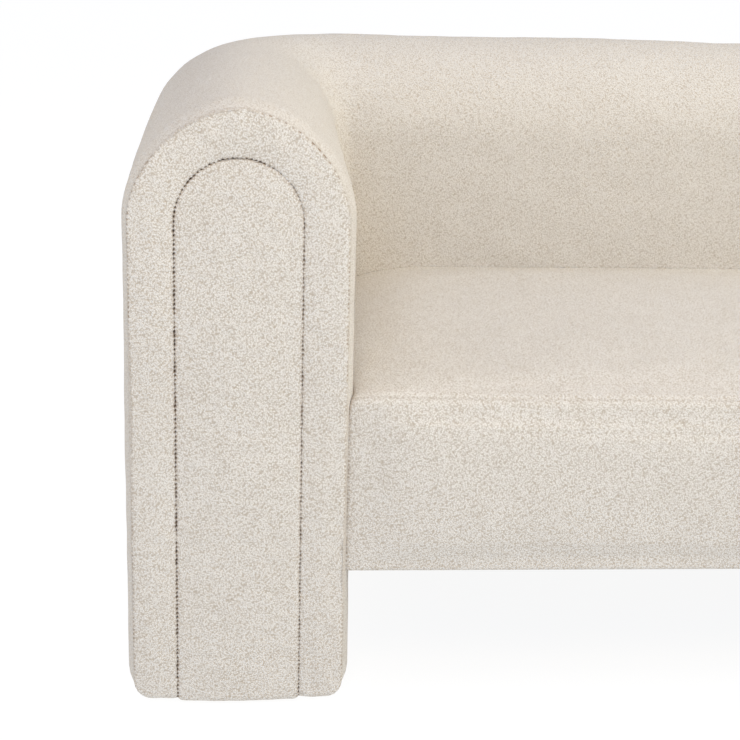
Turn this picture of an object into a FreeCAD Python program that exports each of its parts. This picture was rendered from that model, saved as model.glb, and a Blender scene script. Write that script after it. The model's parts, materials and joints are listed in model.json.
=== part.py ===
import FreeCAD, Part
import os

# Three-seat sofa: one upholstered arch-topped wall runs round both arms and the back,
# and a sprung seat hangs between the arms. Millimetres, +Z up, front towards -Y,
# origin on the floor under the middle of the sofa.

# ---- driving dimensions ----
LENGTH = 2200
DEPTH = 920
GLIDE_HEIGHT = 4
BODY_HEIGHT = 760
WALL_THICKNESS = 280
CORNER_RADIUS = 170
SPLIT_RUN = 15
FOOT_RADIUS = 30
SEAT_UNDERSIDE = 175
SEAT_FRONT_HEIGHT = 405
SEAT_REAR_HEIGHT = 418
SEAT_RECESS = 8

# ---- layers, from the outside in ----
COVER = 3
ARM_WADDING = 7
ARM_FOAM = 20
BACK_WADDING = 15
BACK_FOAM = 24
SEAT_WADDING = 12
HEM = 40
BAND_WIDTH = 53.5
BAND_DEPTH = 17
PANEL_GAP = 0.5

# ---- frame stock ----
BOARD = 18
PANEL = 9
FORMER = 15
TOP_SHELL = 4
FIT_GAP = 0.5
RAIL_WIDTH = 28
RAIL_TOP = 289
SPRING_PAD = 5
SPRING_WIRE = 3.8
TIE_WIRE = 3

# ---- worked-out places ----
HALF_LENGTH = LENGTH / 2
HALF_WALL = WALL_THICKNESS / 2
FRONT = -DEPTH / 2
FLOOR = 0
BODY_FOOT = GLIDE_HEIGHT
BODY_TOP = GLIDE_HEIGHT + BODY_HEIGHT
SPRING_LINE = BODY_TOP - HALF_WALL
ARM_AXIS = HALF_LENGTH - HALF_WALL
BACK_AXIS = DEPTH / 2 - HALF_WALL
CORNER_X = ARM_AXIS - CORNER_RADIUS
CORNER_Y = BACK_AXIS - CORNER_RADIUS
SPLIT_X = CORNER_X - SPLIT_RUN
INNER_X = ARM_AXIS - HALF_WALL
BACK_FACE = BACK_AXIS - HALF_WALL
UNDERSIDE = GLIDE_HEIGHT + SEAT_UNDERSIDE
DUST_COVER = 1
HEM_FOOT = UNDERSIDE + DUST_COVER
FRAME_FOOT = HEM_FOOT + COVER
ARM_CORE = COVER + ARM_WADDING
BACK_CORE = COVER + BACK_WADDING
SEAT_CORE = COVER + SEAT_WADDING
FRAME_HALF = HALF_WALL - ARM_CORE - ARM_FOAM
BACK_HALF = HALF_WALL - BACK_CORE - BACK_FOAM
BOARD_FRONT = FRONT + BAND_DEPTH
FRAME_FRONT = BOARD_FRONT + FORMER
SEAT_FRONT = FRONT + SEAT_RECESS
CLIP_HEIGHT = 6
PAD_FOOT = RAIL_TOP + CLIP_HEIGHT
FOAM_FOOT = PAD_FOOT + SPRING_PAD

ACROSS = FreeCAD.Vector(1, 0, 0)
ALONG = FreeCAD.Vector(0, 1, 0)
UP = FreeCAD.Vector(0, 0, 1)
ORIGIN = FreeCAD.Vector(0, 0, 0)


def point(x, y, z):
    return FreeCAD.Vector(x, y, z)


def box(low_x, high_x, low_y, high_y, low_z, high_z):
    return Part.makeBox(high_x - low_x, high_y - low_y, high_z - low_z, point(low_x, low_y, low_z))


def rod(radius, start, direction, length):
    return Part.makeCylinder(radius, length, start, direction)


def mirrored(shape):
    return shape.mirror(ORIGIN, ACROSS)


def joined(shapes):
    return shapes[0].fuse(shapes[1:]).removeSplitter()


def drilled(shape, holes):
    return shape.cut(Part.makeCompound(holes))


def closed_face(edges):
    return Part.Face(Part.Wire(edges))


def line(start, end):
    return Part.LineSegment(start, end).toShape()


def arc(start, middle, end):
    return Part.Arc(start, middle, end).toShape()


def corner_arc(start, centre, end):
    """Quarter arc about a centre, from start to end."""
    toward = (start - centre) + (end - centre)
    toward.normalize()
    middle = centre + toward * (start - centre).Length
    return arc(start, middle, end)


# ---- sections of the wall, drawn in the plane Y = 0 about X = 0 ----
def arch(half, foot, foot_radius=0, crown_radius=None):
    """Arch-topped outline: straight sides to the spring line, then a half circle."""
    crown = crown_radius or half
    edges = []
    if foot_radius > 0:
        edges.append(line(point(foot_radius - half, 0, foot), point(half - foot_radius, 0, foot)))
        for side in (1, -1):
            corner = point(side * (half - foot_radius), 0, foot + foot_radius)
            below = corner - UP * foot_radius
            beside = corner + ACROSS * (side * foot_radius)
            edges.append(corner_arc(below, corner, beside))
    else:
        edges.append(line(point(-half, 0, foot), point(half, 0, foot)))
    for side in (1, -1):
        edges.append(line(point(side * half, 0, foot + foot_radius), point(side * half, 0, SPRING_LINE)))
        if crown != half:
            edges.append(line(point(side * half, 0, SPRING_LINE), point(side * crown, 0, SPRING_LINE)))
    top = point(0, 0, SPRING_LINE + crown)
    edges.append(arc(point(-crown, 0, SPRING_LINE), top, point(crown, 0, SPRING_LINE)))
    return Part.Face(Part.Wire(Part.__sortEdges__(edges)))


def inset_arch(inset):
    """The arm's outer outline, stepped in by a layer thickness."""
    return arch(HALF_WALL - inset, BODY_FOOT + inset, FOOT_RADIUS - inset)


def rectangle(low_x, high_x, low_z, high_z):
    return Part.makePlane(
        high_x - low_x, high_z - low_z, point(low_x, 0, low_z), point(0, -1, 0), ACROSS
    )


def cut_face(outer, *inner):
    face = outer
    for other in inner:
        face = face.cut(other)
    return face


def sweep_bend(section, start_y):
    """Quarter turn about the corner, then the short run up to the back."""
    placed = section.copy()
    placed.translate(point(-ARM_AXIS, start_y, 0))
    pivot = point(-CORNER_X, CORNER_Y, 0)
    bend = placed.revolve(pivot, UP, -90)
    placed.rotate(pivot, UP, -90)
    return [bend, placed.extrude(ACROSS * SPLIT_RUN)]


def solids_of(shape):
    found = shape.Solids
    return found[0] if len(found) == 1 else Part.makeCompound(found)


def sweep_arm(section, front):
    """Left-hand layer: along the arm, round the corner and up to the back."""
    placed = section.copy()
    placed.translate(point(-ARM_AXIS, front, 0))
    straight = placed.extrude(ALONG * (CORNER_Y - front))
    return solids_of(joined([straight] + sweep_bend(section, CORNER_Y)))


def sweep_corner(section):
    return solids_of(joined(sweep_bend(section, CORNER_Y)))


def arm_slice(section, front, thickness):
    placed = section.copy()
    placed.translate(point(-ARM_AXIS, front, 0))
    return solids_of(placed.extrude(ALONG * thickness))


def back_slice(section, start_x, length):
    """Layer or former of the back: the section turned to face forwards, along X."""
    placed = section.copy()
    placed.rotate(ORIGIN, UP, -90)
    placed.translate(point(start_x, BACK_AXIS, 0))
    return solids_of(placed.extrude(ACROSS * length))


# ---- fastener places ----
SEAT_BOLT_STATIONS = (-330, -140, 50)
SEAT_BOLT_Z = 236
BOLT_RADIUS = 4
BOLT_HOLE = 4.25
BREAK_THROUGH = 1
BOLT_HEAD_RADIUS = 6.5
BOLT_HEAD = 5
WASHER_RADIUS = 10
NUT_FLANGE_RADIUS = 12
NUT_FLANGE = 2
NUT_LENGTH = 9
BACK_BOLT_HEIGHTS = (260, 480, 620)
BLOCK_HALF = 30
LEG_STATIONS = (-330, BACK_AXIS)
LEG_TOP_RADIUS = 24
LEG_FOOT_RADIUS = 17
LEG_PAD_HEIGHT = 6
PAD_SETBACK = 1
LEG_PLATE = 3
LEG_PLATE_HALF = 30
GLIDE_RADIUS = 20
GLIDE_PLACES = ((-ARM_AXIS, -400), (-ARM_AXIS, 60), (-820, 316))
ARM_FRAME_INNER = -ARM_AXIS + FRAME_HALF
SIDE_RAIL_OUTER = -INNER_X + COVER
SIDE_RAIL_INNER = SIDE_RAIL_OUTER + RAIL_WIDTH


def seat_bolt_holes():
    start_x = ARM_FRAME_INNER - PANEL - BREAK_THROUGH
    length = SIDE_RAIL_INNER - start_x + BREAK_THROUGH
    starts = [point(start_x, y, SEAT_BOLT_Z) for y in SEAT_BOLT_STATIONS]
    return [rod(BOLT_HOLE, start, ACROSS, length) for start in starts]


def back_bolt_holes():
    reach = FORMER + COVER + BREAK_THROUGH
    return [
        rod(BOLT_HOLE, point(-SPLIT_X - reach, BACK_AXIS, z), ACROSS, 2 * reach) for z in BACK_BOLT_HEIGHTS
    ]


def bolt_blocks():
    """Solid blocks where the seat bolts would otherwise squeeze the arm's padding."""
    low_z = SEAT_BOLT_Z - BLOCK_HALF
    high_z = SEAT_BOLT_Z + BLOCK_HALF
    outer = -INNER_X - COVER
    return [
        box(ARM_FRAME_INNER, outer, y - BLOCK_HALF, y + BLOCK_HALF, low_z, high_z)
        for y in SEAT_BOLT_STATIONS
    ]


def end_cap_space():
    """Room for the fabric that closes the end of the arm, under the back."""
    return box(-SPLIT_X - COVER, -SPLIT_X, BACK_FACE, DEPTH / 2, FLOOR, FRAME_FOOT)


# ---- upholstery of the wall ----
OUTSIDE_PANEL_FOOT = 200
OUTSIDE_PANEL_TOP = 600
OUTSIDE_PANEL_GAP = 0.3


def wall_cover():
    hem_slot = rectangle(HEM + FOOT_RADIUS - HALF_WALL, HALF_WALL - HEM - FOOT_RADIUS, 0, BODY_FOOT + COVER)
    arm_ring = cut_face(inset_arch(0), inset_arch(COVER), hem_slot)
    front_lip = arm_slice(cut_face(inset_arch(0), band_outline()), FRONT, COVER)
    end_cap = back_slice(inset_arch(COVER), -SPLIT_X - COVER, COVER).common(end_cap_space())
    arm = joined([sweep_arm(arm_ring, FRONT), front_lip, end_cap])
    arm = drilled(arm, seat_bolt_holes())
    back_slot = rectangle(HEM - HALF_WALL, HALF_WALL - HEM, 0, FRAME_FOOT)
    back_inner = arch(HALF_WALL - COVER, FRAME_FOOT)
    back_ring = cut_face(arch(HALF_WALL, HEM_FOOT), back_inner, back_slot)
    back = back_slice(back_ring, -SPLIT_X, 2 * SPLIT_X)
    back = back.cut(outside_back_cover(0))
    return joined([arm, mirrored(arm), back])


def outside_back_cover(gap):
    return box(
        -SPLIT_X + gap,
        SPLIT_X - gap,
        DEPTH / 2 - COVER,
        DEPTH / 2,
        OUTSIDE_PANEL_FOOT + gap,
        OUTSIDE_PANEL_TOP - gap,
    )


def band_outline():
    return arch(HALF_WALL - ARM_CORE, BODY_FOOT + COVER, FOOT_RADIUS - ARM_CORE)


def arm_wadding():
    slot = rectangle(FOOT_RADIUS + HEM - HALF_WALL, HALF_WALL - HEM - FOOT_RADIUS, 0, BODY_FOOT + ARM_CORE)
    ring = cut_face(inset_arch(COVER), inset_arch(ARM_CORE), slot)
    layer = sweep_arm(ring, FRONT + COVER)
    band_space = arm_slice(band_outline(), FRONT, BAND_DEPTH)
    return drilled(layer, bolt_blocks() + [end_cap_space(), band_space])


def arm_foam():
    inner = arch(FRAME_HALF, 0)
    ring = cut_face(inset_arch(ARM_CORE), inner)
    layer = sweep_arm(ring, FRAME_FRONT)
    return drilled(layer, bolt_blocks() + [end_cap_space()])


def arm_front_band():
    inner = arch(HALF_WALL - ARM_CORE - BAND_WIDTH, 0)
    return arm_slice(cut_face(band_outline(), inner), FRONT, BAND_DEPTH)


PANEL_BOARD = 6
PANEL_FOOT_RADIUS = 8


def arm_front_panel():
    half = HALF_WALL - ARM_CORE - BAND_WIDTH - PANEL_GAP
    outline = arch(half, BODY_FOOT + COVER, PANEL_FOOT_RADIUS)
    return arm_slice(outline, FRONT, BAND_DEPTH - PANEL_BOARD)


def arm_front_panel_board():
    half = HALF_WALL - ARM_CORE - BAND_WIDTH - 2 * PANEL_GAP
    outline = arch(half, BODY_FOOT + COVER, PANEL_FOOT_RADIUS)
    return arm_slice(outline, BOARD_FRONT - PANEL_BOARD, PANEL_BOARD)


# ---- arm frame ----
def arm_front_board():
    return arm_slice(inset_arch(ARM_CORE), BOARD_FRONT, FORMER)


def arm_base_board():
    foot = BODY_FOOT + ARM_CORE
    board = sweep_arm(rectangle(-FRAME_HALF, FRAME_HALF, foot, foot + BOARD), FRAME_FRONT)
    return board.cut(end_cap_space())


FRAME_FLOOR = BODY_FOOT + ARM_CORE + BOARD


def arm_inner_panel():
    panel = box(ARM_FRAME_INNER - PANEL, ARM_FRAME_INNER, FRAME_FRONT, CORNER_Y, FRAME_FLOOR, SPRING_LINE)
    return drilled(panel, seat_bolt_holes())


def arm_outer_panel():
    outer = -ARM_AXIS - FRAME_HALF
    return box(outer, outer + PANEL, FRAME_FRONT, CORNER_Y, FRAME_FLOOR, SPRING_LINE)


def corner_inner_skin():
    skin = sweep_corner(rectangle(FRAME_HALF - PANEL, FRAME_HALF, FRAME_FLOOR, SPRING_LINE))
    return skin.cut(end_cap_space())


def corner_outer_skin():
    skin = sweep_corner(rectangle(-FRAME_HALF, PANEL - FRAME_HALF, FRAME_FLOOR, SPRING_LINE))
    return skin.cut(end_cap_space())


def arm_top_shell():
    below = rectangle(-HALF_WALL, HALF_WALL, 0, SPRING_LINE)
    half_ring = cut_face(arch(FRAME_HALF, 0), arch(FRAME_HALF - TOP_SHELL, 0), below)
    return sweep_arm(half_ring, FRAME_FRONT)


WINDOW_SIDE = 45
WINDOW_FOOT = 85


def former_section(frame_half, foot):
    """Plywood former that fills the frame, with a lightening window."""
    half = frame_half - PANEL - FIT_GAP
    crown = frame_half - TOP_SHELL - FIT_GAP
    window = arch(half - WINDOW_SIDE, foot + WINDOW_FOOT)
    return cut_face(arch(half, foot, 0, crown), window)


ARM_FORMER_STATIONS = (-245, -55, 130)
ARM_END_FORMER = -SPLIT_X - COVER - FORMER


def arm_formers():
    section = former_section(FRAME_HALF, FRAME_FLOOR)
    formers = [arm_slice(section, y - FORMER, FORMER) for y in ARM_FORMER_STATIONS]
    corner = arm_slice(section, CORNER_Y - FORMER / 2, FORMER)
    corner.rotate(point(-CORNER_X, CORNER_Y, 0), UP, -45)
    formers.append(corner)
    formers.append(drilled(back_slice(section, ARM_END_FORMER, FORMER), back_bolt_holes()))
    return Part.makeCompound(formers)


def arm_bolt_blocks():
    return Part.makeCompound(both_sides([drilled(Part.makeCompound(bolt_blocks()), seat_bolt_holes())]))


# ---- back ----
def back_wadding():
    return back_slice(
        cut_face(arch(HALF_WALL - COVER, FRAME_FOOT), arch(HALF_WALL - BACK_CORE, 0)), -SPLIT_X, 2 * SPLIT_X
    )


def back_foam():
    return back_slice(
        cut_face(arch(HALF_WALL - BACK_CORE, FRAME_FOOT), arch(BACK_HALF, 0)), -SPLIT_X, 2 * SPLIT_X
    )


BACK_FLOOR = FRAME_FOOT + BOARD


def back_bottom_rail():
    rail = box(-SPLIT_X, SPLIT_X, BACK_AXIS - BACK_HALF, BACK_AXIS + BACK_HALF, FRAME_FOOT, BACK_FLOOR)
    return drilled(rail, leg_bolt_holes())


TOP_RAIL_HALF = 30
TOP_RAIL_FOOT = SPRING_LINE + 20
TOP_RAIL_HEIGHT = 30


def back_top_rail():
    return box(
        -SPLIT_X,
        SPLIT_X,
        BACK_AXIS - TOP_RAIL_HALF,
        BACK_AXIS + TOP_RAIL_HALF,
        TOP_RAIL_FOOT,
        TOP_RAIL_FOOT + TOP_RAIL_HEIGHT,
    )


def back_inner_panel():
    front = BACK_AXIS - BACK_HALF
    return box(-SPLIT_X, SPLIT_X, front, front + PANEL, BACK_FLOOR, SPRING_LINE)


def back_outer_panel():
    rear = BACK_AXIS + BACK_HALF
    return box(-SPLIT_X, SPLIT_X, rear - PANEL, rear, BACK_FLOOR, SPRING_LINE)


def back_top_shell():
    below = rectangle(-HALF_WALL, HALF_WALL, 0, SPRING_LINE)
    half_ring = cut_face(arch(BACK_HALF, 0), arch(BACK_HALF - TOP_SHELL, 0), below)
    return back_slice(half_ring, -SPLIT_X, 2 * SPLIT_X)


BACK_FORMERS = 7


def back_formers():
    section = former_section(BACK_HALF, BACK_FLOOR)
    pitch = (2 * SPLIT_X - FORMER) / (BACK_FORMERS - 1)
    formers = []
    for index in range(BACK_FORMERS):
        former = back_slice(section, -SPLIT_X + index * pitch, FORMER)
        former = former.cut(back_top_rail())
        formers.append(former)
    holes = back_bolt_holes() + [mirrored(hole) for hole in back_bolt_holes()]
    return drilled(Part.makeCompound(formers), holes)


# ---- seat ----
SEAT_EDGE_RADIUS = 24
CROWN_POINT_Y = -140
CROWN_POINT_DROP = 2


def seat_face(inset, foot, rear):
    """Side view of the seat: rounded front edge and a top that rises to the back."""
    front = SEAT_FRONT + inset
    radius = SEAT_EDGE_RADIUS - inset
    front_top = BODY_FOOT + SEAT_FRONT_HEIGHT - inset
    rear_top = BODY_FOOT + SEAT_REAR_HEIGHT - inset
    centre = point(0, front + radius, front_top - radius)
    edge_start = point(0, front, front_top - radius)
    edge_end = point(0, front + radius, front_top)
    crown = point(0, CROWN_POINT_Y, rear_top - CROWN_POINT_DROP)
    edges = [
        line(point(0, rear, foot), point(0, front, foot)),
        line(point(0, front, foot), edge_start),
        corner_arc(edge_start, centre, edge_end),
        arc(edge_end, crown, point(0, rear, rear_top)),
        line(point(0, rear, rear_top), point(0, rear, foot)),
    ]
    return closed_face(edges)


def seat_body(inset, foot, side_inset, rear_inset):
    half = INNER_X - side_inset
    section = seat_face(inset, foot, BACK_FACE - rear_inset)
    section.translate(ACROSS * -half)
    return section.extrude(ACROSS * (2 * half))


def rear_coves(inset):
    """What the rounded inner corners of the wall take off the seat's rear corners."""
    radius = CORNER_RADIUS - HALF_WALL - inset
    block = box(-INNER_X, -CORNER_X, CORNER_Y, BACK_FACE, 0, BODY_TOP)
    return both_sides([block.cut(rod(radius, point(-CORNER_X, CORNER_Y, 0), UP, BODY_TOP))])


def seat_cover():
    outer = drilled(seat_body(0, HEM_FOOT, 0, 0), rear_coves(0))
    inner = drilled(seat_body(COVER, FRAME_FOOT, COVER, COVER), rear_coves(COVER))
    opening = box(-INNER_X, INNER_X, SEAT_FRONT + HEM, BACK_FACE, 0, FRAME_FOOT)
    return drilled(outer.cut(inner).cut(opening), both_sides(seat_bolt_holes()))


def seat_wadding():
    half = INNER_X - COVER
    upper = drilled(seat_body(COVER, PAD_FOOT, COVER, COVER), rear_coves(COVER))
    upper = upper.cut(seat_body(SEAT_CORE, 0, SEAT_CORE, SEAT_CORE))
    apron = box(-half, half, SEAT_FRONT + COVER, SEAT_FRONT + SEAT_CORE, FRAME_FOOT, PAD_FOOT)
    return joined([upper, apron])


def seat_foam():
    return seat_body(SEAT_CORE, FOAM_FOOT, SEAT_CORE, SEAT_CORE)


RAIL_FRONT = SEAT_FRONT + SEAT_CORE
RAIL_REAR = BACK_FACE - COVER
SEAT_HALF = INNER_X - COVER


def seat_spring_pad():
    half = INNER_X - SEAT_CORE
    return box(-half, half, RAIL_FRONT, BACK_FACE - SEAT_CORE, PAD_FOOT, FOAM_FOOT)


def seat_front_rail():
    return box(-SEAT_HALF, SEAT_HALF, RAIL_FRONT, RAIL_FRONT + RAIL_WIDTH, FRAME_FOOT, RAIL_TOP)


def seat_rear_rail():
    rail = box(-SEAT_HALF, SEAT_HALF, RAIL_REAR - RAIL_WIDTH, RAIL_REAR, FRAME_FOOT, RAIL_TOP)
    return drilled(rail, rear_coves(COVER))


def seat_side_rail():
    rail = box(
        SIDE_RAIL_OUTER,
        SIDE_RAIL_INNER,
        RAIL_FRONT + RAIL_WIDTH,
        RAIL_REAR - RAIL_WIDTH,
        FRAME_FOOT,
        RAIL_TOP,
    )
    return drilled(rail, seat_bolt_holes())


CENTRE_RAIL_HALF = 20
CENTRE_RAIL_HEIGHT = 60


def seat_centre_rail():
    rail = box(
        -CENTRE_RAIL_HALF,
        CENTRE_RAIL_HALF,
        RAIL_FRONT + RAIL_WIDTH,
        RAIL_REAR - RAIL_WIDTH,
        FRAME_FOOT,
        FRAME_FOOT + CENTRE_RAIL_HEIGHT,
    )
    return drilled(rail, leg_bolt_holes())


CORNER_BLOCK = 70
CORNER_BLOCK_LIFT = 5
CORNER_BLOCK_HEIGHT = 45


def seat_corner_blocks():
    """Triangular glue blocks in the four corners of the seat frame."""
    blocks = []
    for y, inward in ((RAIL_FRONT + RAIL_WIDTH, 1), (RAIL_REAR - RAIL_WIDTH, -1)):
        corner = point(SIDE_RAIL_INNER, y, FRAME_FOOT + CORNER_BLOCK_LIFT)
        outline = Part.makePolygon(
            [
                corner,
                corner + ACROSS * CORNER_BLOCK,
                corner + ALONG * (inward * CORNER_BLOCK),
                corner,
            ]
        )
        blocks.append(Part.Face(outline).extrude(UP * CORNER_BLOCK_HEIGHT))
    return Part.makeCompound(both_sides(blocks))


def both_sides(shapes):
    return list(shapes) + [mirrored(shape) for shape in shapes]


# ---- springs ----
SPRING_COUNT = 13
SPRING_RUNS = 24
SPRING_HALF_RUN = 13
SPRING_LIFT = 0.2
SPRING_LEVEL = RAIL_TOP + SPRING_LIFT + SPRING_WIRE / 2
SPRING_START = RAIL_FRONT + RAIL_WIDTH / 2
SPRING_END = RAIL_REAR - RAIL_WIDTH / 2
SPRING_SIDE_MARGIN = 60
SPRING_PITCH = 2 * (INNER_X - SPRING_SIDE_MARGIN) / SPRING_COUNT
CLIP_HALF_WIDTH = 9
CLIP_HALF_DEPTH = 8
CLIP_PLAY = 0.1


def spring_places():
    first = -(SPRING_COUNT - 1) / 2 * SPRING_PITCH
    return [first + index * SPRING_PITCH for index in range(SPRING_COUNT)]


def zigzag_spring():
    """One sinuous spring: straight cross runs joined by half-round loops."""
    step = (SPRING_END - SPRING_START) / SPRING_RUNS
    loop = step / 2
    edges = []
    for index in range(SPRING_RUNS + 1):
        side = 1 if index % 2 == 0 else -1
        y = SPRING_START + index * step
        start = point(-side * SPRING_HALF_RUN, y, SPRING_LEVEL)
        end = point(side * SPRING_HALF_RUN, y, SPRING_LEVEL)
        edges.append(line(start, end))
        if index < SPRING_RUNS:
            middle = point(side * (SPRING_HALF_RUN + loop), y + loop, SPRING_LEVEL)
            edges.append(arc(end, middle, end + ALONG * step))
    path = Part.Wire(edges)
    start = point(-SPRING_HALF_RUN, SPRING_START, SPRING_LEVEL)
    circle = Part.Wire(Part.makeCircle(SPRING_WIRE / 2, start, ACROSS))
    return path.makePipeShell([circle], True, False)


def sinuous_springs():
    spring = zigzag_spring()
    springs = []
    for x in spring_places():
        copy = spring.copy()
        copy.translate(ACROSS * x)
        springs.append(copy)
    return Part.makeCompound(springs)


def spring_clips():
    clips = []
    for x in spring_places():
        for y in (SPRING_START, SPRING_END):
            clip = box(
                x - CLIP_HALF_WIDTH,
                x + CLIP_HALF_WIDTH,
                y - CLIP_HALF_DEPTH,
                y + CLIP_HALF_DEPTH,
                RAIL_TOP,
                PAD_FOOT,
            )
            slot_start = point(x - CLIP_HALF_WIDTH, y, SPRING_LEVEL)
            slot = rod(SPRING_WIRE / 2 + CLIP_PLAY, slot_start, ACROSS, 2 * CLIP_HALF_WIDTH)
            clips.append(clip.cut(slot))
    return Part.makeCompound(clips)


TIE_WIRE_STATIONS = (-330, -140, 50)


def spring_tie_wires():
    level = SPRING_LEVEL - SPRING_WIRE / 2 - TIE_WIRE / 2
    length = -2 * SIDE_RAIL_INNER
    return Part.makeCompound(
        [rod(TIE_WIRE / 2, point(SIDE_RAIL_INNER, y, level), ACROSS, length) for y in TIE_WIRE_STATIONS]
    )


# ---- underside ----
DUST_GAP = 3
DUST_EDGE = 6
DIAGONAL = 1.42
LEG_CLEARANCE = 1
CUT_MARGIN = 5


def leg_clear_holes():
    radius = LEG_PLATE_HALF * DIAGONAL + LEG_CLEARANCE
    return [rod(radius, point(0, y, UNDERSIDE - CUT_MARGIN), UP, 2 * CUT_MARGIN) for y in LEG_STATIONS]


def seat_dust_cover():
    half = INNER_X - DUST_GAP
    sheet = box(-half, half, SEAT_FRONT + DUST_EDGE, BACK_FACE - DUST_GAP, UNDERSIDE, HEM_FOOT)
    return drilled(sheet, leg_clear_holes() + rear_coves(DUST_GAP))


def back_dust_cover():
    half = SPLIT_X - DUST_GAP
    sheet = box(-half, half, BACK_FACE + DUST_GAP, DEPTH / 2 - DUST_EDGE, UNDERSIDE, HEM_FOOT)
    return drilled(sheet, leg_clear_holes())


HANGER_BOLT_FOOT = 150
HANGER_BOLT_TOP = FRAME_FOOT + BOARD - 1
HOLE_RUN = 10


def leg_bolt_holes():
    length = HANGER_BOLT_TOP - FRAME_FOOT + HOLE_RUN
    return [rod(BOLT_RADIUS, point(0, y, FRAME_FOOT - HOLE_RUN), UP, length) for y in LEG_STATIONS]


def centre_leg(y):
    top = FRAME_FOOT - LEG_PLATE
    leg = Part.makeCone(LEG_FOOT_RADIUS, LEG_TOP_RADIUS, top - LEG_PAD_HEIGHT, point(0, y, LEG_PAD_HEIGHT))
    return leg.cut(rod(BOLT_RADIUS, point(0, y, HANGER_BOLT_FOOT), UP, top - HANGER_BOLT_FOOT))


def centre_leg_plates():
    plates = []
    for y in LEG_STATIONS:
        half = LEG_PLATE_HALF
        plate = box(-half, half, y - half, y + half, FRAME_FOOT - LEG_PLATE, FRAME_FOOT)
        plates.append(plate.cut(rod(BOLT_RADIUS, point(0, y, FRAME_FOOT - HOLE_RUN), UP, 2 * HOLE_RUN)))
    return Part.makeCompound(plates)


def centre_leg_bolts():
    length = HANGER_BOLT_TOP - HANGER_BOLT_FOOT
    bolts = [rod(BOLT_RADIUS, point(0, y, HANGER_BOLT_FOOT), UP, length) for y in LEG_STATIONS]
    return Part.makeCompound(bolts)


def centre_leg_pads():
    radius = LEG_FOOT_RADIUS - PAD_SETBACK
    pads = [rod(radius, point(0, y, FLOOR), UP, LEG_PAD_HEIGHT) for y in LEG_STATIONS]
    return Part.makeCompound(pads)


def arm_glides():
    height = BODY_FOOT + ARM_CORE
    glides = [rod(GLIDE_RADIUS, point(x, y, FLOOR), UP, height) for x, y in GLIDE_PLACES]
    return Part.makeCompound(both_sides(glides))


# ---- bolts ----
WASHER = 1.6
BOLT_TAIL = 12


def bolt(start, direction, length):
    """Round-headed bolt: the washer's outer face is at the start point."""
    washer = rod(WASHER_RADIUS, start, direction, WASHER)
    head = rod(BOLT_HEAD_RADIUS, start - direction * BOLT_HEAD, direction, BOLT_HEAD)
    shank = rod(BOLT_RADIUS, start, direction, length)
    return joined([head, washer, shank])


def frame_bolts():
    """Bolts that hold the seat and the back to the arms, their heads inside the seat and back."""
    seat_x = SIDE_RAIL_INNER + WASHER
    seat_length = seat_x - (ARM_FRAME_INNER - PANEL) + BOLT_TAIL
    back_x = -SPLIT_X + FORMER + WASHER
    back_length = back_x - ARM_END_FORMER + BOLT_TAIL
    left = [bolt(point(seat_x, y, SEAT_BOLT_Z), -ACROSS, seat_length) for y in SEAT_BOLT_STATIONS]
    left += [bolt(point(back_x, BACK_AXIS, z), -ACROSS, back_length) for z in BACK_BOLT_HEIGHTS]
    return Part.makeCompound(both_sides(left))


def flanged_nut(seat):
    flange = rod(NUT_FLANGE_RADIUS, seat, -ACROSS, NUT_FLANGE)
    barrel = rod(BOLT_HEAD_RADIUS, seat, -ACROSS, NUT_LENGTH)
    return flange.fuse(barrel).cut(rod(BOLT_RADIUS, seat, -ACROSS, NUT_LENGTH)).removeSplitter()


def bolt_nuts():
    """Flanged nuts that the bolts run into, inside the arms."""
    seats = [point(ARM_FRAME_INNER - PANEL, y, SEAT_BOLT_Z) for y in SEAT_BOLT_STATIONS]
    seats += [point(ARM_END_FORMER, BACK_AXIS, z) for z in BACK_BOLT_HEIGHTS]
    return Part.makeCompound(both_sides([flanged_nut(seat) for seat in seats]))


# ---- one STEP file for each named piece ----
SINGLE_PIECES = {
    "wall_cover": wall_cover,
    "outside_back_cover": lambda: outside_back_cover(OUTSIDE_PANEL_GAP),
    "back_wadding": back_wadding,
    "back_foam": back_foam,
    "back_top_shell": back_top_shell,
    "back_inner_panel": back_inner_panel,
    "back_outer_panel": back_outer_panel,
    "back_formers": back_formers,
    "back_bottom_rail": back_bottom_rail,
    "back_top_rail": back_top_rail,
    "seat_cover": seat_cover,
    "seat_wadding": seat_wadding,
    "seat_foam": seat_foam,
    "seat_spring_pad": seat_spring_pad,
    "sinuous_springs": sinuous_springs,
    "spring_clips": spring_clips,
    "spring_tie_wires": spring_tie_wires,
    "seat_front_rail": seat_front_rail,
    "seat_rear_rail": seat_rear_rail,
    "seat_centre_rail": seat_centre_rail,
    "seat_corner_blocks": seat_corner_blocks,
    "seat_dust_cover": seat_dust_cover,
    "back_dust_cover": back_dust_cover,
    "centre_leg_front": lambda: centre_leg(LEG_STATIONS[0]),
    "centre_leg_rear": lambda: centre_leg(LEG_STATIONS[1]),
    "centre_leg_plates": centre_leg_plates,
    "centre_leg_bolts": centre_leg_bolts,
    "centre_leg_pads": centre_leg_pads,
    "arm_glides": arm_glides,
    "arm_bolt_blocks": arm_bolt_blocks,
    "frame_bolts": frame_bolts,
    "bolt_nuts": bolt_nuts,
}
LEFT_AND_RIGHT_PIECES = {
    "arm_wadding": arm_wadding,
    "arm_foam": arm_foam,
    "arm_front_band": arm_front_band,
    "arm_front_panel": arm_front_panel,
    "arm_front_panel_board": arm_front_panel_board,
    "arm_front_board": arm_front_board,
    "arm_base_board": arm_base_board,
    "arm_inner_panel": arm_inner_panel,
    "arm_outer_panel": arm_outer_panel,
    "corner_inner_skin": corner_inner_skin,
    "corner_outer_skin": corner_outer_skin,
    "arm_top_shell": arm_top_shell,
    "arm_formers": arm_formers,
    "seat_side_rail": seat_side_rail,
}


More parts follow.
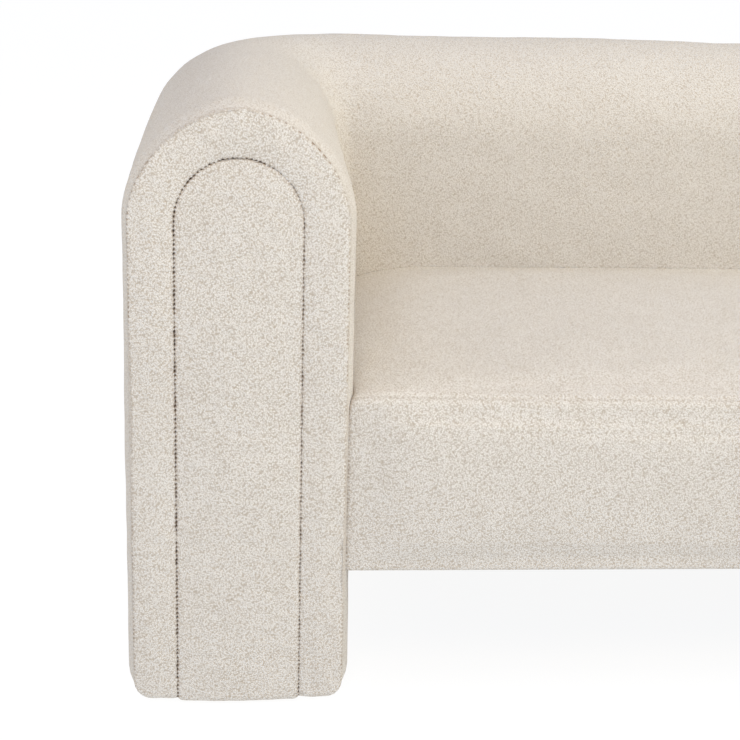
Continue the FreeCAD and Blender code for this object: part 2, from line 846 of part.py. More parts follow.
def save(shape, name):
    if not shape.isValid():
        print("not valid:", name)
    shape.exportStep("parts/" + name + ".step")
    print(f"{name}: {len(shape.Solids)} solids, {shape.Volume / 1e6:.3f} litres")


os.makedirs("parts", exist_ok=True)
for name, make in SINGLE_PIECES.items():
    save(make(), name)
for name, make in LEFT_AND_RIGHT_PIECES.items():
    left = make()
    save(left, name + "_left")
    save(mirrored(left), name + "_right")
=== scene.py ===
import json
import math

import bmesh
import bpy
import numpy as np
from mathutils import Matrix, Vector
from mathutils.kdtree import KDTree


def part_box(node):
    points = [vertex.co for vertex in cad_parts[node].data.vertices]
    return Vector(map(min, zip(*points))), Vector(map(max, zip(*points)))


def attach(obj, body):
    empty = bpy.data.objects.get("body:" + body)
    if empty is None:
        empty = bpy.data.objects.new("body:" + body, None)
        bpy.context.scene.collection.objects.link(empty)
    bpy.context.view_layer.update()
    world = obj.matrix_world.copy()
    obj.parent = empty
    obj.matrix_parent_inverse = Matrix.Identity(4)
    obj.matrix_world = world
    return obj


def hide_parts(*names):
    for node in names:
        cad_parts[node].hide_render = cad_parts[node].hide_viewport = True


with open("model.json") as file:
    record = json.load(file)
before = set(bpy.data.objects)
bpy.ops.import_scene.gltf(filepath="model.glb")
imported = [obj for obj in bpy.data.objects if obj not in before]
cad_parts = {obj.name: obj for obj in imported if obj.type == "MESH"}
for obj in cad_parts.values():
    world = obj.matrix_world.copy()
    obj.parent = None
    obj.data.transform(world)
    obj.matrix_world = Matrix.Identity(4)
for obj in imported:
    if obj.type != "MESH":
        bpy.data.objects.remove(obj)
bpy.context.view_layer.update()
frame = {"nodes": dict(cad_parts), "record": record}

# ---- places taken from the frame, in metres ----
WALL_LOW, WALL_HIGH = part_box("wall_cover")
SEAT_LOW, SEAT_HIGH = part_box("seat_cover")
BAND_LOW, BAND_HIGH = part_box("arm_front_band_left")
PANEL_LOW, PANEL_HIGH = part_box("arm_front_panel_left")
BACK_PANEL_LOW, BACK_PANEL_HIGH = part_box("outside_back_cover")
CORNER_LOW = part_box("corner_outer_skin_left")[0]
SPLIT_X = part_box("back_foam")[1].x
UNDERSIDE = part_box("seat_dust_cover")[0].z
HALF_WALL = (SEAT_LOW.x - WALL_LOW.x) / 2
ARM_AXIS = WALL_HIGH.x - HALF_WALL
BACK_AXIS = WALL_HIGH.y - HALF_WALL
CORNER_RADIUS = BACK_AXIS - CORNER_LOW.y
CORNER_X = ARM_AXIS - CORNER_RADIUS
CORNER_Y = CORNER_LOW.y
SPRING_LINE = WALL_HIGH.z - HALF_WALL
FOOT = WALL_LOW.z
FRONT = WALL_LOW.y
BACK_FACE = SEAT_HIGH.y
INNER_X = SEAT_HIGH.x
BAND_INSET = BAND_LOW.x - WALL_LOW.x
PANEL_HALF = (PANEL_HIGH.x - PANEL_LOW.x) / 2

# ---- shape of the soft skin ----
CROWN_POWER_FRONT = 1.80
CROWN_POWER_BEHIND = 1.95
CROWN_FILLS_WITHIN = 0.35
FOOT_RADIUS = 0.036
HEM = 0.04
GRID = 0.010
BACK_SAG = 0.002
SHOULDER_SWELL = 0.0018


# ---- small tools ----
def smoothstep(value, low, high):
    t = np.clip((np.asarray(value, float) - low) / (high - low), 0.0, 1.0)
    return t * t * (3 - 2 * t)


def span(start, end, step):
    """Evenly spaced values from start to end, about step apart."""
    count = max(2, int(round(abs(end - start) / step)) + 1)
    return np.linspace(start, end, count)


class Ripple:
    """Smooth irregularity: a sum of waves in seeded random directions, about 1 high."""

    def __init__(self, seed, shortest, longest, waves=14):
        rng = np.random.default_rng(seed)
        directions = rng.normal(size=(waves, 3))
        directions /= np.linalg.norm(directions, axis=1)[:, None]
        lengths = rng.uniform(shortest, longest, waves)
        self.vectors = directions * (2 * math.pi / lengths)[:, None]
        self.phases = rng.uniform(0, 2 * math.pi, waves)
        self.scale = 1.2 / math.sqrt(waves)

    def at(self, points):
        return np.sin(points @ self.vectors.T + self.phases).sum(axis=1) * self.scale


def new_object(name, vertices, faces, smooth=True):
    mesh = bpy.data.meshes.new(name)
    mesh.from_pydata([tuple(v) for v in np.asarray(vertices, float)], [], [tuple(f) for f in faces])
    mesh.validate()
    mesh.update()
    obj = bpy.data.objects.new(name, mesh)
    bpy.context.scene.collection.objects.link(obj)
    if smooth:
        mesh.polygons.foreach_set("use_smooth", [True] * len(mesh.polygons))
    return obj


def grid_faces(rows, columns, first=0, wrap=False):
    """Quads of a grid of points stored row by row; wrap joins the last column to the first."""
    faces = []
    last = columns if wrap else columns - 1
    for r in range(rows - 1):
        for c in range(last):
            a = first + r * columns + c
            b = first + r * columns + (c + 1) % columns
            faces.append((a, b, b + columns, a + columns))
    return faces


def weld(obj, distance):
    """Join doubled points and turn all faces outwards."""
    bm = bmesh.new()
    bm.from_mesh(obj.data)
    bmesh.ops.remove_doubles(bm, verts=bm.verts, dist=distance)
    bmesh.ops.recalc_face_normals(bm, faces=bm.faces)
    bm.to_mesh(obj.data)
    bm.free()
    return obj


def positions(obj):
    co = np.zeros(len(obj.data.vertices) * 3)
    obj.data.vertices.foreach_get("co", co)
    return co.reshape(-1, 3)


def set_positions(obj, co):
    obj.data.vertices.foreach_set("co", np.asarray(co, float).ravel())
    obj.data.update()


def normals(obj):
    found = np.zeros(len(obj.data.vertices) * 3)
    obj.data.vertices.foreach_get("normal", found)
    return found.reshape(-1, 3)


def push(obj, amount):
    """Move each point along its normal."""
    set_positions(obj, positions(obj) + normals(obj) * np.asarray(amount)[:, None])


def roll(distance, width, drop):
    """How far a padded face falls back near its edge: drop at the edge, nothing beyond width."""
    t = 1 - np.clip(np.asarray(distance, float) / width, 0.0, 1.0)
    return drop * (1 - np.sqrt(np.clip(1 - t * t, 0.0, 1.0)))


# ---- materials ----
def new_material(name, roughness=0.6, metallic=0.0):
    material = bpy.data.materials.new(name)
    material.use_nodes = True
    shader = material.node_tree.nodes["Principled BSDF"]
    shader.inputs["Roughness"].default_value = roughness
    shader.inputs["Metallic"].default_value = metallic
    return material, material.node_tree, shader


def object_coordinates(tree, scale=(1.0, 1.0, 1.0), turn=(0.0, 0.0, 0.0)):
    """The object's own coordinates, stretched by scale and turned by angles in degrees."""
    source = tree.nodes.new("ShaderNodeTexCoord")
    mapping = tree.nodes.new("ShaderNodeMapping")
    mapping.inputs["Scale"].default_value = scale
    mapping.inputs["Rotation"].default_value = [math.radians(angle) for angle in turn]
    tree.links.new(source.outputs["Object"], mapping.inputs["Vector"])
    return mapping.outputs["Vector"]


def noise_texture(tree, vector, scale, detail=2.0, roughness=0.5):
    node = tree.nodes.new("ShaderNodeTexNoise")
    node.inputs["Scale"].default_value = scale
    node.inputs["Detail"].default_value = detail
    node.inputs["Roughness"].default_value = roughness
    tree.links.new(vector, node.inputs["Vector"])
    return node.outputs["Fac"]


def maths(tree, operation, a, b=None):
    node = tree.nodes.new("ShaderNodeMath")
    node.operation = operation
    for socket, value in ((node.inputs[0], a), (node.inputs[1], b)):
        if value is None:
            continue
        if isinstance(value, (int, float)):
            socket.default_value = value
        else:
            tree.links.new(value, socket)
    return node.outputs[0]


def ramp(tree, factor, stops):
    node = tree.nodes.new("ShaderNodeValToRGB")
    elements = node.color_ramp.elements
    while len(elements) < len(stops):
        elements.new(0.5)
    for element, (place, colour) in zip(elements, stops):
        element.position = place
        element.color = (*colour, 1.0)
    tree.links.new(factor, node.inputs["Fac"])
    return node.outputs["Color"]


def point_attribute(tree, name):
    """Value that set_shade stores on the mesh; a mesh without it gives 0."""
    node = tree.nodes.new("ShaderNodeAttribute")
    node.attribute_name = name
    return node.outputs["Fac"]


def bump(tree, height, distance, strength):
    node = tree.nodes.new("ShaderNodeBump")
    node.inputs["Strength"].default_value = strength
    node.inputs["Distance"].default_value = distance
    tree.links.new(height, node.inputs["Height"])
    return node.outputs["Normal"]


# the cells are turned, so that no flat face cuts them along their own grid
CLOTH_TURN = (24, 41, 13)
NUB_SCALE = 520.0
NUB_RANDOMNESS = 0.8
NUB_SHARE = 0.70
CURL_SCALE = 1300.0
CURL_SHARE = 0.40
PATCH_SCALE = 24.0
PATCH_SHARE = 0.08
PILE_DEPTH = 0.0012
PILE_STRENGTH = 0.6
# tones from low to high nub height: the darker, warmer low end is partly the yarn's tone and partly
# painted shade in the hollows between nubs
BOUCLE_TONES = [
    (0.38, (0.490, 0.424, 0.343)),
    (0.53, (0.630, 0.583, 0.517)),
    (0.66, (0.724, 0.686, 0.623)),
    (0.84, (0.832, 0.800, 0.742)),
]
# dark brown of the painted seam shadow, mixed in where the seam attribute is high
SEAM_SHADOW_COLOUR = (0.19, 0.11, 0.048, 1.0)
NAP_SOFTENING = 0.28
MIDDLE_TONE = 0.56


def boucle_material():
    """Close boucle: nubs about 2 mm apart, finer curls on them; the ramp on nub height gives the yarn's
    tone and paints shade into the warmer hollows between, and the seam attribute mixes in painted seam
    shadow.
    """
    material, tree, shader = new_material("boucle_cream", roughness=0.95)
    coordinates = object_coordinates(tree, turn=CLOTH_TURN)
    nubs = tree.nodes.new("ShaderNodeTexVoronoi")
    nubs.feature = "F1"
    nubs.inputs["Scale"].default_value = NUB_SCALE
    nubs.inputs["Randomness"].default_value = NUB_RANDOMNESS
    tree.links.new(coordinates, nubs.inputs["Vector"])
    rounded = maths(tree, "SUBTRACT", 1.0, nubs.outputs["Distance"])
    curls = noise_texture(tree, coordinates, CURL_SCALE, detail=2.0, roughness=0.6)
    nub_height = maths(tree, "MULTIPLY", rounded, NUB_SHARE)
    curl_height = maths(tree, "MULTIPLY", curls, CURL_SHARE)
    height = maths(tree, "ADD", nub_height, curl_height)
    patches = noise_texture(tree, coordinates, PATCH_SCALE, detail=3.0, roughness=0.6)
    patch_tone = maths(tree, "MULTIPLY", maths(tree, "SUBTRACT", patches, 0.5), PATCH_SHARE)
    tone = maths(tree, "ADD", height, patch_tone)
    softening = maths(tree, "MULTIPLY", point_attribute(tree, "nap"), NAP_SOFTENING)
    contrast = maths(tree, "SUBTRACT", 1.0, softening)
    centred = maths(tree, "MULTIPLY", maths(tree, "SUBTRACT", tone, MIDDLE_TONE), contrast)
    tone = maths(tree, "ADD", centred, MIDDLE_TONE)
    colour = ramp(tree, tone, BOUCLE_TONES)
    # painted seam shadow: the seam attribute mixes the cloth towards dark brown
    seam_shadow_mix = tree.nodes.new("ShaderNodeMix")
    seam_shadow_mix.data_type = "RGBA"
    tree.links.new(point_attribute(tree, "seam"), seam_shadow_mix.inputs[0])
    tree.links.new(colour, seam_shadow_mix.inputs[6])
    seam_shadow_mix.inputs[7].default_value = SEAM_SHADOW_COLOUR
    tree.links.new(seam_shadow_mix.outputs[2], shader.inputs["Base Color"])
    tree.links.new(bump(tree, height, PILE_DEPTH, PILE_STRENGTH), shader.inputs["Normal"])
    shader.inputs["Sheen Weight"].default_value = 0.10
    shader.inputs["Sheen Roughness"].default_value = 0.6
    shader.inputs["Specular IOR Level"].default_value = 0.1
    return material


def wood_material(name, dark, light, grain_axis, roughness):
    material, tree, shader = new_material(name, roughness=roughness)
    stretch = [60.0, 60.0, 60.0]
    stretch[grain_axis] = 5.0
    coordinates = object_coordinates(tree, stretch)
    rings = noise_texture(tree, coordinates, 1.0, detail=4.0, roughness=0.6)
    fibres = noise_texture(tree, coordinates, 6.0, detail=3.0, roughness=0.7)
    ring_tone = maths(tree, "MULTIPLY", rings, 0.7)
    fibre_tone = maths(tree, "MULTIPLY", fibres, 0.3)
    mixed = maths(tree, "ADD", ring_tone, fibre_tone)
    tree.links.new(ramp(tree, mixed, [(0.35, dark), (0.65, light)]), shader.inputs["Base Color"])
    tree.links.new(bump(tree, fibres, 0.0004, 0.4), shader.inputs["Normal"])
    return material


def speckled_material(name, dark, light, scale, depth, roughness, metallic):
    """Plain stuff with a fine grain: felt, foam, cloth, moulded plastic and drawn steel."""
    material, tree, shader = new_material(name, roughness=roughness, metallic=metallic)
    grain = noise_texture(tree, object_coordinates(tree), scale, detail=3.0, roughness=0.6)
    tree.links.new(ramp(tree, grain, [(0.35, dark), (0.65, light)]), shader.inputs["Base Color"])
    tree.links.new(bump(tree, grain, depth, 0.5), shader.inputs["Normal"])
    return material


SLOT_MATERIALS = {
    "boucle": boucle_material(),
    "leg_wood": wood_material("leg_wood", (0.20, 0.11, 0.05), (0.40, 0.25, 0.13), 2, 0.4),
    "frame_timber": wood_material("frame_timber", (0.50, 0.36, 0.20), (0.68, 0.53, 0.34), 0, 0.7),
    "plywood": wood_material("plywood", (0.50, 0.36, 0.21), (0.66, 0.50, 0.32), 0, 0.65),
}
# slot: dark tone, light tone, grain scale, grain depth, roughness, metallic
SPECKLED_SLOTS = {
    "wadding": ((0.80, 0.80, 0.78), (0.92, 0.92, 0.91), 180.0, 0.0015, 0.95, 0.0),
    "foam": ((0.78, 0.72, 0.52), (0.88, 0.83, 0.66), 700.0, 0.0006, 0.9, 0.0),
    "felt": ((0.12, 0.12, 0.12), (0.30, 0.29, 0.28), 350.0, 0.001, 0.95, 0.0),
    "dust_cloth": ((0.006, 0.006, 0.007), (0.02, 0.02, 0.022), 900.0, 0.0002, 0.8, 0.0),
    "spring_steel": ((0.16, 0.16, 0.17), (0.26, 0.26, 0.27), 300.0, 0.0001, 0.35, 1.0),
    "zinc_steel": ((0.50, 0.51, 0.52), (0.64, 0.65, 0.66), 260.0, 0.0001, 0.3, 1.0),
    "glide_plastic": ((0.012, 0.011, 0.01), (0.02, 0.018, 0.016), 500.0, 0.0001, 0.5, 0.0),
    "hardboard": ((0.09, 0.05, 0.028), (0.15, 0.09, 0.05), 500.0, 0.0002, 0.6, 0.0),
}
for slot_name, recipe in SPECKLED_SLOTS.items():
    SLOT_MATERIALS[slot_name] = speckled_material(slot_name, *recipe)


def dress_cad_nodes():
    """Every CAD node that stays gets the procedural material of its slot."""
    for entry in frame["record"]["subparts"]:
        node = frame["nodes"][entry["node"]]
        node.data.materials.clear()
        node.data.materials.append(SLOT_MATERIALS[entry["material_slot"]])


def finish_piece(obj, slot, *nodes):
    """Material, body and the CAD nodes that a piece stands for."""
    obj.data.materials.clear()
    obj.data.materials.append(SLOT_MATERIALS[slot])
    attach(obj, "root")
    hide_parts(*nodes)
    return obj


# ---- the wall's outline, in its own plane: u towards the inside, z up ----
def crown_curve(half, angles, power):
    """Arch from the inner side over to the outer side; a power of 2 is a half circle."""
    u = half * np.sign(np.cos(angles)) * np.abs(np.cos(angles)) ** (2 / power)
    z = half * np.abs(np.sin(angles)) ** (2 / power)
    return u, z


LEG_ROWS_LOW = span(FOOT + FOOT_RADIUS, UNDERSIDE, GRID)
LEG_ROWS_HIGH = span(UNDERSIDE, SPRING_LINE, GRID)
FOOT_ROWS = 7
HEM_ROWS = 3
CROWN_ROWS = 47


def wall_outline(inset, power):
    """Open outline of the wall, from the inner hem, over the top, to the outer hem."""
    half = HALF_WALL - inset
    foot = FOOT + inset
    radius = FOOT_RADIUS - inset
    hem = np.linspace(half - radius - HEM, half - radius, HEM_ROWS, endpoint=False)
    angle = np.linspace(0, math.pi / 2, FOOT_ROWS, endpoint=False)
    inner_u = [
        hem,
        half - radius + radius * np.sin(angle),
        np.full(len(LEG_ROWS_LOW) - 1, half),
        np.full(len(LEG_ROWS_HIGH) - 1, half),
    ]
    inner_z = [
        np.full(HEM_ROWS, foot),
        foot + radius - radius * np.cos(angle),
        LEG_ROWS_LOW[:-1],
        LEG_ROWS_HIGH[:-1],
    ]
    crown_u, crown_z = crown_curve(half, np.linspace(0, math.pi, CROWN_ROWS), power)
    inner_u = np.concatenate(inner_u)
    inner_z = np.concatenate(inner_z)
    u = np.concatenate([inner_u, crown_u, -inner_u[::-1]])
    z = np.concatenate([inner_z, SPRING_LINE + crown_z, inner_z[::-1]])
    return u, z


UNDERSIDE_ROW = HEM_ROWS + FOOT_ROWS + len(LEG_ROWS_LOW) - 1
EDGE_INSET = 0.0095
EDGE_DEPTH = 0.042
EDGE_DRAW_POWER = 1.7
EDGE_ROUND = 0.0025
SEAM_DEPTH = 0.004
# strength of the painted shade along the wall's front rim
RIM_SHADE = 0.20
PANEL_RECESS = 0.006
WALL_BROAD_RIPPLE = 0.0010
WALL_FINE_RIPPLE = 0.00035
WALL_SETTLING = 0.0006


def front_inset(y):
    """How far the wrap has drawn in, near the arm front."""
    t = np.clip((np.asarray(y, float) - FRONT) / EDGE_DEPTH, 0.0, 1.0)
    return EDGE_INSET * (1 - t) ** EDGE_DRAW_POWER


def wall_stations():
    """Stations along the left half of the wall: x, y, inward direction and inset."""
    stations = []
    stations.append((-ARM_AXIS, FRONT + SEAM_DEPTH, (1, 0), EDGE_INSET + EDGE_ROUND))
    for angle in np.linspace(math.pi / 2, 0, 6):
        y = FRONT + EDGE_ROUND * (1 - math.sin(angle))
        rounding = EDGE_ROUND * (1 - math.cos(angle))
        stations.append((-ARM_AXIS, y, (1, 0), float(front_inset(y)) + rounding))
    for y in span(FRONT + EDGE_ROUND, FRONT + EDGE_DEPTH, GRID / 2)[1:]:
        stations.append((-ARM_AXIS, y, (1, 0), float(front_inset(y))))
    for y in span(FRONT + EDGE_DEPTH, CORNER_Y, GRID)[1:]:
        stations.append((-ARM_AXIS, y, (1, 0), 0.0))
    outer_arc = (CORNER_RADIUS + HALF_WALL) * math.pi / 2
    for angle in span(0, math.pi / 2, GRID * (math.pi / 2) / outer_arc)[1:]:
        x = -CORNER_X - CORNER_RADIUS * math.cos(angle)
        y = CORNER_Y + CORNER_RADIUS * math.sin(angle)
        stations.append((x, y, (math.cos(angle), -math.sin(angle)), 0.0))
    stations.append((-(CORNER_X + SPLIT_X) / 2, BACK_AXIS, (0, -1), 0.0))
    for x in span(-SPLIT_X, 0.0, GRID):
        stations.append((x, BACK_AXIS, (0, -1), 0.0))
    return stations


def mirrored_station(station):
    x, y, inward, inset = station
    return (-x, y, (-inward[0], inward[1]), inset)


def wall_points(station):
    x, y, inward, inset = station
    fullness = float(smoothstep(y, FRONT, FRONT + CROWN_FILLS_WITHIN))
    power = CROWN_POWER_FRONT + (CROWN_POWER_BEHIND - CROWN_POWER_FRONT) * fullness
    u, z = wall_outline(inset, power)
    return np.stack([x + u * inward[0], y + u * inward[1], z], axis=1)


def wall_skin():
    """One skin over both arms and the back; under the back it stops at the seat's underside."""
    left = wall_stations()
    stations = left + [mirrored_station(s) for s in left[:-1]][::-1]
    points = np.array([wall_points(s) for s in stations])
    rows = points.shape[1]
    high_end = rows - 1 - UNDERSIDE_ROW
    faces = []
    for s in range(len(stations) - 1):
        x = (stations[s][0] + stations[s + 1][0]) / 2
        over_gap = abs(x) < SPLIT_X
        for r in range(rows - 1):
            if over_gap and (r < UNDERSIDE_ROW or r >= high_end):
                continue
            a = s * rows + r
            faces.append((a, a + 1, a + rows + 1, a + rows))
    vertices = [points.reshape(-1, 3)]
    count = len(vertices[0])
    for side in (-1, 1):
        index = min(range(len(stations)), key=lambda i: abs(stations[i][0] - side * SPLIT_X))
        cap_rows = []
        for r in range(HEM_ROWS, UNDERSIDE_ROW + 1):
            inner, outer = points[index, r], points[index, rows - 1 - r]
            t = np.linspace(0, 1, 24)[:, None]
            cap_rows.append(inner * (1 - t) + outer * t)
        cap = np.array(cap_rows)
        vertices.append(cap.reshape(-1, 3))
        faces += grid_faces(cap.shape[0], cap.shape[1], first=count)
        count += cap.shape[0] * cap.shape[1]
    for sign in (1, -1):
        xs = span(-SPLIT_X, SPLIT_X, GRID)
        hem = np.array(
            [
                [(x, BACK_AXIS - sign * (HALF_WALL - depth), UNDERSIDE) for x in xs]
                for depth in np.linspace(0, HEM, 5)
            ]
        )
        vertices.append(hem.reshape(-1, 3))
        faces += grid_faces(hem.shape[0], hem.shape[1], first=count)
        count += hem.shape[0] * hem.shape[1]
    obj = new_object("wall_skin", np.concatenate(vertices), faces)
    return weld(obj, 0.0004)


def shape_wall(obj):
    """Shades, sag of the back, fuller shoulders, recess for the outside panel, unevenness."""
    co = positions(obj)
    # painted shade: a thin dark line along the wall's front rim, where the wrap turns in
    set_shade(obj, "seam", np.where(co[:, 1] < FRONT + EDGE_ROUND + 0.001, RIM_SHADE, 0.0))
    set_shade(obj, "nap", np.ones(len(co)))
    over_spring = smoothstep(co[:, 2], SPRING_LINE - 0.25, WALL_HIGH.z)
    along_back = smoothstep(SPLIT_X + 0.12 - np.abs(co[:, 0]), 0.0, 0.75)
    co[:, 2] -= BACK_SAG * over_spring * along_back
    shoulder = smoothstep(co[:, 2], SPRING_LINE - 0.20, SPRING_LINE + 0.03)
    along_arm = smoothstep(co[:, 1], FRONT + 0.03, FRONT + 0.20) * smoothstep(-co[:, 1], -0.16, 0.10)
    outwards = smoothstep(np.abs(co[:, 0]), ARM_AXIS + 0.01, ARM_AXIS + 0.09)
    co[:, 0] += np.sign(co[:, 0]) * SHOULDER_SWELL * shoulder * along_arm * outwards
    behind = smoothstep(co[:, 1], WALL_HIGH.y - 0.004, WALL_HIGH.y - 0.002)
    beyond_x = BACK_PANEL_HIGH.x - np.abs(co[:, 0])
    middle_z = (BACK_PANEL_LOW.z + BACK_PANEL_HIGH.z) / 2
    half_z = (BACK_PANEL_HIGH.z - BACK_PANEL_LOW.z) / 2
    beyond_z = half_z - np.abs(co[:, 2] - middle_z)
    within = smoothstep(beyond_x, -0.007, 0.005) * smoothstep(beyond_z, -0.007, 0.005)
    beside_panel = smoothstep(beyond_x, -0.04, -0.01) * smoothstep(beyond_z, -0.04, -0.01)
    co[:, 1] -= PANEL_RECESS * behind * within
    set_positions(obj, co)
    away_from_floor = smoothstep(co[:, 2], FOOT, FOOT + 0.05)
    away_from_front = smoothstep(co[:, 1], FRONT + 0.008, FRONT + 0.07)
    free = away_from_floor * (0.15 + 0.85 * away_from_front) * (1 - 0.85 * behind * beside_panel)
    broad = Ripple(3, 0.22, 0.60).at(co) * WALL_BROAD_RIPPLE
    fine = Ripple(4, 0.035, 0.09).at(co) * WALL_FINE_RIPPLE
    push(obj, (broad + fine) * free - WALL_SETTLING)


# ---- stuffing pressed outwards by a cloth simulation ----
SWELL_FRAMES = 20
SWELL_PRESSURE = 4.0
SWELL_QUALITY = 5
NEIGHBOURS = 6


def swell(obj, voxel, cap, held):
    """Stuff a pad: cloth under pressure on a coarse copy, its movement then given to the fine mesh."""
    copy = bpy.data.objects.new(obj.name + "_stuffing", obj.data.copy())
    bpy.context.scene.collection.objects.link(copy)
    remesh = copy.modifiers.new("remesh", "REMESH")
    remesh.mode = "VOXEL"
    remesh.voxel_size = voxel
    depsgraph = bpy.context.evaluated_depsgraph_get()
    coarse = bpy.data.meshes.new_from_object(copy.evaluated_get(depsgraph))
    copy.modifiers.clear()
    copy.data = coarse
    start = positions(copy)
    group = copy.vertex_groups.new(name="held")
    for index, weight in enumerate(held(start)):
        group.add([index], float(weight), "REPLACE")
    cloth = copy.modifiers.new("cloth", "CLOTH")
    cloth.settings.use_pressure = True
    cloth.settings.uniform_pressure_force = SWELL_PRESSURE
    cloth.settings.effector_weights.gravity = 0.0
    cloth.settings.vertex_group_mass = "held"
    cloth.settings.quality = SWELL_QUALITY
    cloth.point_cache.frame_start = 1
    cloth.point_cache.frame_end = SWELL_FRAMES
    for frame_number in range(1, SWELL_FRAMES + 1):
        bpy.context.scene.frame_set(frame_number)
    depsgraph = bpy.context.evaluated_depsgraph_get()
    settled = bpy.data.meshes.new_from_object(copy.evaluated_get(depsgraph))
    end = np.zeros(len(settled.vertices) * 3)
    settled.vertices.foreach_get("co", end)
    moved = end.reshape(-1, 3) - start
    length = np.linalg.norm(moved, axis=1)
    moved *= (cap * np.tanh(length / cap) / np.maximum(length, 1e-9))[:, None]
    tree = KDTree(len(start))
    for index, place in enumerate(start):
        tree.insert(place, index)
    tree.balance()
    co = positions(obj)
    shift = np.zeros_like(co)
    for index, place in enumerate(co):
        near = tree.find_n(place, NEIGHBOURS)
        weights = np.array([1 / (distance + voxel / 4) ** 2 for _, _, distance in near])
        shift[index] = weights @ moved[[found for _, found, _ in near]] / weights.sum()
    free = 1 - held(co)
    set_positions(obj, co + shift * free[:, None])
    bpy.data.objects.remove(copy)
    bpy.context.scene.frame_set(1)


# ---- arm fronts ----
SOFT_ROLL = 0.012
SOFT_DROP = 0.0020
SEAM_ROLL = 0.0028
SEAM_DROP = 0.0044
SEAM_SHADE_WIDTH = 0.0015
INNER_SPRING = SPRING_LINE - 0.003
BOTTOM_ROLL = 0.010
BOTTOM_DROP = 0.009
RIM_ROLL = 0.004
RIM_DROP = 0.0014
RIM_PULL_DROP = 0.003
BAND_CROWN = 0.0020
PANEL_CROWN = 0.0032
PANEL_PROUD = 0.0005
PANEL_CORNER = 0.009
FRONT_BROAD_RIPPLE = 0.0009
FRONT_FINE_RIPPLE = 0.00035
STITCH = 0.0055
SEAM_WANDER = 0.00016
LAST_PHASE = 6.28
CROWN_SLACK = 0.12
INNER_SLACK = 0.42
SHOULDER_SLACK = 0.22
OUTER_PULL = 0.70
CONTOUR_STEP = 0.0011
BAND_FOOT = FOOT + 0.0035
PANEL_FOOT = FOOT + 0.0005


class SeamLine:
    """Unevenness along a hand-closed seam: how far it wanders and how deep it is pulled."""

    def __init__(self, seed):
        rng = np.random.default_rng(seed)
        self.wander_waves = [(rng.uniform(0.007, 0.035), rng.uniform(0, LAST_PHASE)) for _ in range(7)]
        self.pull_waves = [(rng.uniform(0.010, 0.07), rng.uniform(0, LAST_PHASE)) for _ in range(8)]

    def wander(self, along):
        total = sum(np.sin(2 * math.pi * along / length + phase) for length, phase in self.wander_waves)
        return total * SEAM_WANDER

    def pull(self, along):
        total = sum(np.sin(2 * math.pi * along / length + phase) for length, phase in self.pull_waves)
        stitched = 0.5 + 0.5 * np.cos(2 * math.pi * along / STITCH)
        return np.clip(1.25 * stitched - 0.30 + 0.13 * total, 0.02, 1.15)


def seam_drop(distance, share):
    """Face falling back to the seam: a soft shoulder, then the tight turn into the stitches."""
    return roll(distance, SOFT_ROLL, SOFT_DROP) + roll(distance, SEAM_ROLL, SEAM_DROP) * share


def seam_shade(distance, share):
    """Painted seam shadow: how strongly the cloth is darkened to brown where it is pulled into the
    seam, 0 to 1.
    """
    return np.exp(-((np.asarray(distance) / SEAM_SHADE_WIDTH) ** 2)) * np.clip(share * 1.3, 0, 1)


def set_shade(obj, name, values):
    """Point attribute that the boucle reads: seam paints seam shadow on it, nap softens its grain."""
    attribute = obj.data.attributes.new(name, "FLOAT", "POINT")
    attribute.data.foreach_set("value", np.asarray(values, float).ravel())


def seam_share(u, z):
    """Seams pull deepest down the outer side and over the crown, and fade on the inner shoulder."""
    inner = smoothstep(u, PANEL_HALF * 0.1, PANEL_HALF * 0.9)
    shoulder = smoothstep(z, INNER_SPRING - 0.02, INNER_SPRING + 0.03)
    crown = smoothstep(z, INNER_SPRING + 0.02, INNER_SPRING + 0.05)
    return 1.0 - CROWN_SLACK * crown - inner * (INNER_SLACK + SHOULDER_SLACK * shoulder)


def contour_rows():
    """Places along an arm front: shares of the leg from the foot up, and angles over the crown."""
    leg = SPRING_LINE - FOOT
    legs = np.concatenate([[0.0, 0.0006], span(0.0015, leg, CONTOUR_STEP)]) / leg
    angles = span(0, math.pi, CONTOUR_STEP / (HALF_WALL - BAND_INSET))
    return legs, angles


def band_curves(seam):
    """Outer and inner edge of the band as matching arrays, from the inner foot to the outer foot."""
    legs, angles = contour_rows()
    radius = FOOT_RADIUS - BAND_INSET
    outer_half = HALF_WALL - BAND_INSET + 0.0006
    z_outer = BAND_FOOT + legs * (SPRING_LINE - BAND_FOOT)
    z_inner = BAND_FOOT + legs * (INNER_SPRING - BAND_FOOT)
    lift = np.clip(radius - (z_outer - BAND_FOOT), 0, radius)
    narrowing = radius - np.sqrt(np.clip(radius**2 - lift**2, 0, None))
    crown_u, crown_z = crown_curve(outer_half, angles[1:-1], CROWN_POWER_FRONT)
    outer_u = np.concatenate([outer_half - narrowing, crown_u, -(outer_half - narrowing)[::-1]])
    outer_z = np.concatenate([z_outer, SPRING_LINE + crown_z, z_outer[::-1]])
    along = np.concatenate([z_inner, z_inner[-1] + angles[1:-1] * PANEL_HALF])
    along = np.concatenate([along, along[-1] + z_inner[-1] - z_inner[::-1]])
    half = PANEL_HALF + seam.wander(along)
    direction_u = np.concatenate([np.ones(len(legs)), np.cos(angles)[1:-1], -np.ones(len(legs))])
    direction_z = np.concatenate([np.zeros(len(legs)), np.sin(angles)[1:-1], np.zeros(len(legs))])
    base_z = np.concatenate([z_inner, np.full(len(angles) - 2, INNER_SPRING), z_inner[::-1]])
    return outer_u, outer_z, half * direction_u, base_z + half * direction_z, along


def ring_stack(name, rings, seam=None):
    """Closed tube through rings of matching points, with both ends filled."""
    rings = np.asarray(rings)
    rows, columns = rings.shape[0], rings.shape[1]
    faces = grid_faces(rows, columns, wrap=True)
    faces.append(tuple(range(columns))[::-1])
    faces.append(tuple(range((rows - 1) * columns, rows * columns)))
    obj = new_object(name, rings.reshape(-1, 3), faces)
    # the seam values are painted seam shadow for the boucle
    if seam is not None:
        set_shade(obj, "seam", seam)
    return obj


